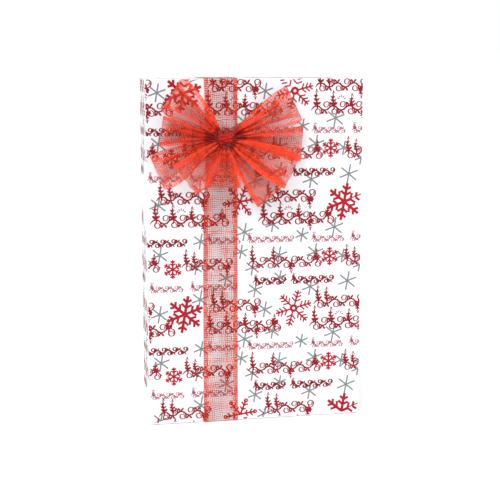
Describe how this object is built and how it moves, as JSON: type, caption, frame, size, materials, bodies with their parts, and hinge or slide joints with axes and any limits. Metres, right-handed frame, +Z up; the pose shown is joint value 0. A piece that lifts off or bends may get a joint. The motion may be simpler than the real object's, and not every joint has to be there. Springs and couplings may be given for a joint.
{
  "type": "gift-wrapped box",
  "caption": "Flat box on its short end, wrapped in printed paper, with an off-centre sheer ribbon band that slides along it and a pinched many-loop bow that swivels on the band.",
  "frame": {"origin": "middle of the underside of the ribbon strip that crosses the base, the face the gift stands on; the box's own middle is 40 mm to the right of it", "axes": "+X to the right as seen from the front (the bow's side), +Y from the front to the back, +Z up along the box's long side"},
  "size_m": [0.2414, 0.1163, 0.3832],
  "materials": {
    "board": "uncoated folding boxboard",
    "printed_paper": "smooth white gift wrap printed in reds and grey",
    "clear_tape": "matt clear adhesive tape",
    "mesh_ribbon": "open woven sheer mesh with dense selvedges",
    "edge_wire": "thin red-coated wire",
    "tie_wire": "thin dark red florist's wire"
  },
  "bodies": {
    "wrapped_box": {"box_base": "board", "box_lid": "board", "wrapping_paper": "printed_paper", "seam_tape_1": "clear_tape", "seam_tape_2": "clear_tape", "seam_tape_3": "clear_tape", "end_tape_top": "clear_tape", "end_tape_bottom": "clear_tape"},
    "ribbon": {"ribbon_band": "mesh_ribbon", "band_wire_left": "edge_wire", "band_wire_right": "edge_wire", "bow_tie_wire": "tie_wire"},
    "bow": {"bow_middle": "mesh_ribbon", "bow_loop_upper_left": "mesh_ribbon", "bow_loop_inner_left": "mesh_ribbon", "bow_loop_left": "mesh_ribbon", "bow_loop_lower_left": "mesh_ribbon", "bow_loop_centre": "mesh_ribbon", "bow_loop_lower_right": "mesh_ribbon", "bow_loop_right_front": "mesh_ribbon", "bow_loop_right": "mesh_ribbon", "bow_loop_upper_right": "mesh_ribbon", "bow_wires_upper_left": "edge_wire", "bow_wires_inner_left": "edge_wire", "bow_wires_left": "edge_wire", "bow_wires_lower_left": "edge_wire", "bow_wires_centre": "edge_wire", "bow_wires_lower_right": "edge_wire", "bow_wires_right_front": "edge_wire", "bow_wires_right": "edge_wire", "bow_wires_upper_right": "edge_wire"}
  },
  "joints": [
    {"name": "ribbon_slide", "type": "slide", "parent": "wrapped_box", "child": "ribbon", "axis": [1, 0, 0], "range_m": [-0.05, 0.12]},
    {"name": "bow_swivel", "type": "hinge", "parent": "ribbon", "child": "bow", "pos_m": [0.004, -0.0364, 0.31847], "axis": [0, 1, 0], "range_deg": [-15, 15]}
  ]
}
